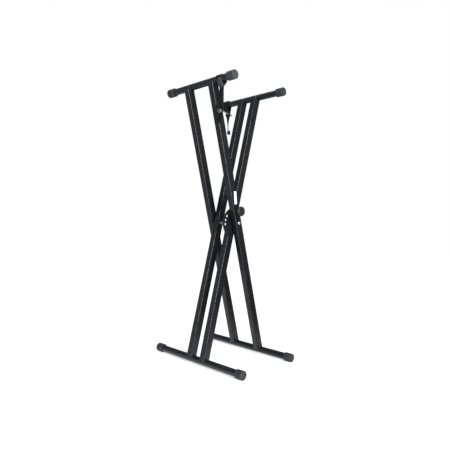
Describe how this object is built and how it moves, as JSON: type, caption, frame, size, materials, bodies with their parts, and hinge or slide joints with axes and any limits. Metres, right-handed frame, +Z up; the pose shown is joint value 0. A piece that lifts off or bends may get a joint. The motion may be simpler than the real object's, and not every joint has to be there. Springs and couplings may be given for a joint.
{
  "type": "keyboard stand",
  "caption": "Folding double-X keyboard stand of black square tube with round arms and feet, rubber caps, a lock plate with a pull knob, and rubber retaining straps on the arms",
  "frame": {"origin": "on the floor under the middle of the stand, midway between the four feet", "axes": "+Z up, X across the stand from the left arm to the right arm, -Y towards the side with the pull knob; the fold axis runs along Y"},
  "size_m": [0.2896, 0.437, 0.9909],
  "materials": {
    "frame_black": "semi-gloss black powder coat",
    "cap_rubber": "satin moulded rubber",
    "strap_rubber": "smooth black rubber",
    "zinc_steel": "bright zinc plate",
    "strap_chrome": "polished chrome plate",
    "nylon": "satin black nylon",
    "knob_plastic": "satin black plastic",
    "strip_white": "matt white film, bare"
  },
  "bodies": {
    "outer_frame": {"outer_leg_rear": "frame_black", "outer_leg_front": "frame_black", "left_arm_tube": "frame_black", "left_arm_cap_front": "cap_rubber", "left_arm_cap_rear": "cap_rubber", "left_arm_welds": "frame_black", "right_foot_tube": "frame_black", "right_foot_cap_front": "cap_rubber", "right_foot_cap_rear": "cap_rubber", "right_foot_welds": "frame_black", "pivot_bolt_front": "zinc_steel", "pivot_nut_front": "zinc_steel", "pivot_bolt_rear": "zinc_steel", "pivot_nut_rear": "zinc_steel", "plunger_sleeve": "frame_black", "plunger_plug": "frame_black", "blank_strip": "strip_white", "left_strap": "strap_rubber", "left_strap_screw": "strap_chrome"},
    "inner_frame": {"inner_leg_rear": "frame_black", "inner_leg_front": "frame_black", "right_arm_tube": "frame_black", "right_arm_cap_front": "cap_rubber", "right_arm_cap_rear": "cap_rubber", "right_arm_welds": "frame_black", "left_foot_tube": "frame_black", "left_foot_cap_front": "cap_rubber", "left_foot_cap_rear": "cap_rubber", "left_foot_welds": "frame_black", "lock_plate": "frame_black", "pivot_bush_front": "nylon", "pivot_washer_front": "nylon", "pivot_bush_rear": "nylon", "pivot_washer_rear": "nylon", "right_strap": "strap_rubber", "right_strap_screw": "strap_chrome", "right_strap_button": "strap_rubber"},
    "knob": {"pull_knob": "knob_plastic", "plunger_pin": "zinc_steel", "plunger_spring": "zinc_steel"}
  },
  "joints": [
    {"name": "leg_fold", "type": "hinge", "parent": "outer_frame", "child": "inner_frame", "pos_m": [0, 0, 0.49531], "axis": [0, 1, 0], "range_deg": [-26, 120]},
    {"name": "knob_pull", "type": "slide", "parent": "outer_frame", "child": "knob", "axis": [0, -1, 0], "range_m": [-0.0032, 0.0045], "stiffness_N_per_m": 1500, "deforming": ["plunger_spring"]}
  ]
}
